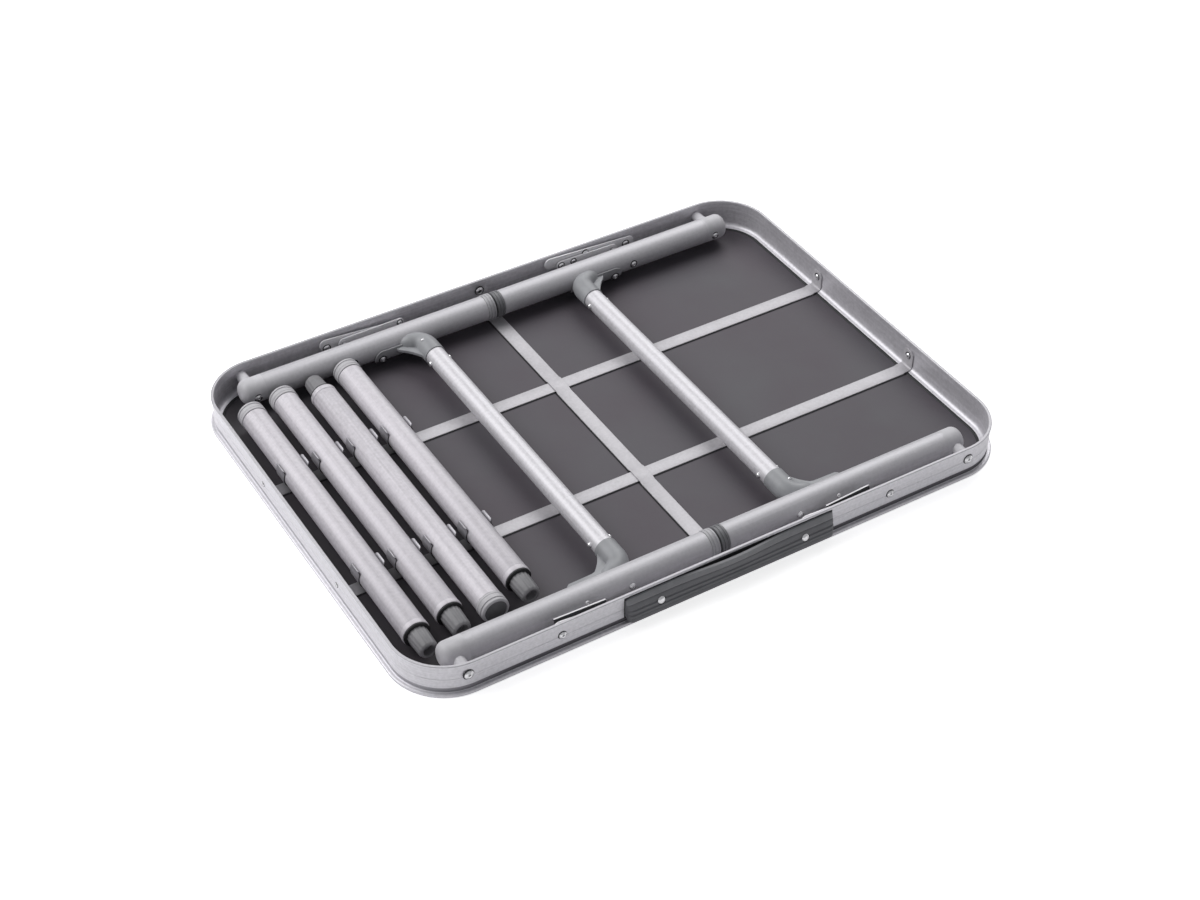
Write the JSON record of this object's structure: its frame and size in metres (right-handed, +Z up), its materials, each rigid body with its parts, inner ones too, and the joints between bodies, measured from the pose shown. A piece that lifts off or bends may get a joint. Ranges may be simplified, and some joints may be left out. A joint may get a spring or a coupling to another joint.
{
  "type": "folding camping table",
  "caption": "Folding camping table lying folded on its top: a rounded metal rim tray holds hinged tube leg frames with locking stays, clipped-in extension legs and a side grip.",
  "frame": {"origin": "centre of the rim, on the plane of the rim's lowest edge, with the table folded and its top face down", "axes": "+X along the table's length, away from the stowed extension legs; +Y across it, away from the carry handle; +Z up, out of the open tray"},
  "size_m": [0.6946, 0.5218, 0.0373],
  "materials": {
    "rim_aluminium": "satin anodised extrusion",
    "tube_aluminium": "satin anodised tube",
    "strap_steel": "galvanised flat strip",
    "plated_steel": "bright zinc plate",
    "grey_nylon": "moulded, fine grain",
    "dark_nylon": "moulded, fine grain",
    "board_laminate": "matt laminate"
  },
  "bodies": {
    "table": {"board": "board_laminate", "rim": "rim_aluminium", "strap_long_front": "strap_steel", "strap_long_back": "strap_steel", "strap_cross": "strap_steel", "handle": "dark_nylon", "handle_rivet_left": "plated_steel", "handle_rivet_right": "plated_steel", "clip_1_front": "grey_nylon", "clip_1_back": "grey_nylon", "clip_2_front": "grey_nylon", "clip_2_back": "grey_nylon", "clip_3_front": "grey_nylon", "clip_3_back": "grey_nylon", "clip_4_front": "grey_nylon", "clip_4_back": "grey_nylon", "pivot_rivet_left_front": "plated_steel", "pivot_rivet_left_back": "plated_steel", "pivot_rivet_right_front": "plated_steel", "pivot_rivet_right_back": "plated_steel"},
    "left_legs": {"cross_tube_left": "tube_aluminium", "leg_tube_left_front": "tube_aluminium", "pivot_cap_left_front": "grey_nylon", "foot_ferrule_left_front": "dark_nylon", "elbow_left_front": "grey_nylon", "leg_tube_left_back": "tube_aluminium", "pivot_cap_left_back": "grey_nylon", "foot_ferrule_left_back": "dark_nylon", "elbow_left_back": "grey_nylon"},
    "right_legs": {"cross_tube_right": "tube_aluminium", "leg_tube_right_front": "tube_aluminium", "pivot_cap_right_front": "grey_nylon", "foot_ferrule_right_front": "dark_nylon", "elbow_right_front": "grey_nylon", "leg_tube_right_back": "tube_aluminium", "pivot_cap_right_back": "grey_nylon", "foot_ferrule_right_back": "dark_nylon", "elbow_right_back": "grey_nylon"},
    "wall_link_left_front": {"wall_link_left_front": "plated_steel"},
    "leg_link_left_front": {"leg_link_left_front": "plated_steel"},
    "wall_link_left_back": {"wall_link_left_back": "plated_steel"},
    "leg_link_left_back": {"leg_link_left_back": "plated_steel"},
    "wall_link_right_front": {"wall_link_right_front": "plated_steel"},
    "leg_link_right_front": {"leg_link_right_front": "plated_steel"},
    "wall_link_right_back": {"wall_link_right_back": "plated_steel"},
    "leg_link_right_back": {"leg_link_right_back": "plated_steel"},
    "extension_leg_1": {"extension_tube_1": "tube_aluminium", "extension_foot_1": "grey_nylon", "extension_plug_1": "dark_nylon"},
    "extension_leg_2": {"extension_tube_2": "tube_aluminium", "extension_foot_2": "grey_nylon", "extension_plug_2": "dark_nylon"},
    "extension_leg_3": {"extension_tube_3": "tube_aluminium", "extension_foot_3": "grey_nylon", "extension_plug_3": "dark_nylon"},
    "extension_leg_4": {"extension_tube_4": "tube_aluminium", "extension_foot_4": "grey_nylon", "extension_plug_4": "dark_nylon"}
  },
  "joints": [
    {"name": "left_legs_fold", "type": "hinge", "parent": "table", "child": "left_legs", "pos_m": [-0.2925, 0, 0.0225], "axis": [0, -1, 0], "range_deg": [0, 90]},
    {"name": "right_legs_fold", "type": "hinge", "parent": "table", "child": "right_legs", "pos_m": [0.2855, 0, 0.0225], "axis": [0, 1, 0], "range_deg": [0, 90]},
    {"name": "wall_link_left_front_turn", "type": "hinge", "parent": "table", "child": "wall_link_left_front", "pos_m": [-0.1935, -0.2482, 0.0213], "axis": [0, -1, 0], "range_deg": [0, 128]},
    {"name": "leg_link_left_front_turn", "type": "hinge", "parent": "left_legs", "child": "leg_link_left_front", "pos_m": [-0.174, -0.2456, 0.0219], "axis": [0, 1, 0], "range_deg": [0, 142.8]},
    {"name": "wall_link_left_back_turn", "type": "hinge", "parent": "table", "child": "wall_link_left_back", "pos_m": [-0.1935, 0.2482, 0.0213], "axis": [0, -1, 0], "range_deg": [0, 128]},
    {"name": "leg_link_left_back_turn", "type": "hinge", "parent": "left_legs", "child": "leg_link_left_back", "pos_m": [-0.174, 0.2456, 0.0219], "axis": [0, 1, 0], "range_deg": [0, 142.8]},
    {"name": "wall_link_right_front_turn", "type": "hinge", "parent": "table", "child": "wall_link_right_front", "pos_m": [0.1865, -0.2482, 0.0213], "axis": [0, 1, 0], "range_deg": [0, 128]},
    {"name": "leg_link_right_front_turn", "type": "hinge", "parent": "right_legs", "child": "leg_link_right_front", "pos_m": [0.167, -0.2456, 0.0219], "axis": [0, -1, 0], "range_deg": [0, 142.8]},
    {"name": "wall_link_right_back_turn", "type": "hinge", "parent": "table", "child": "wall_link_right_back", "pos_m": [0.1865, 0.2482, 0.0213], "axis": [0, 1, 0], "range_deg": [0, 128]},
    {"name": "leg_link_right_back_turn", "type": "hinge", "parent": "right_legs", "child": "leg_link_right_back", "pos_m": [0.167, 0.2456, 0.0219], "axis": [0, -1, 0], "range_deg": [0, 142.8]},
    {"name": "extension_leg_1_lift", "type": "slide", "parent": "table", "child": "extension_leg_1", "axis": [0, 0, 1], "range_m": [0, 0.06]},
    {"name": "extension_leg_2_lift", "type": "slide", "parent": "table", "child": "extension_leg_2", "axis": [0, 0, 1], "range_m": [0, 0.06]},
    {"name": "extension_leg_3_lift", "type": "slide", "parent": "table", "child": "extension_leg_3", "axis": [0, 0, 1], "range_m": [0, 0.06]},
    {"name": "extension_leg_4_lift", "type": "slide", "parent": "table", "child": "extension_leg_4", "axis": [0, 0, 1], "range_m": [0, 0.06]}
  ],
  "couplings": [
    {"joint": "wall_link_left_front_turn", "follows": "left_legs_fold", "ratio": 1.4184},
    {"joint": "leg_link_left_front_turn", "follows": "left_legs_fold", "ratio": 1.5816},
    {"joint": "wall_link_left_back_turn", "follows": "left_legs_fold", "ratio": 1.4184},
    {"joint": "leg_link_left_back_turn", "follows": "left_legs_fold", "ratio": 1.5816},
    {"joint": "wall_link_right_front_turn", "follows": "right_legs_fold", "ratio": 1.4184},
    {"joint": "leg_link_right_front_turn", "follows": "right_legs_fold", "ratio": 1.5816},
    {"joint": "wall_link_right_back_turn", "follows": "right_legs_fold", "ratio": 1.4184},
    {"joint": "leg_link_right_back_turn", "follows": "right_legs_fold", "ratio": 1.5816}
  ]
}
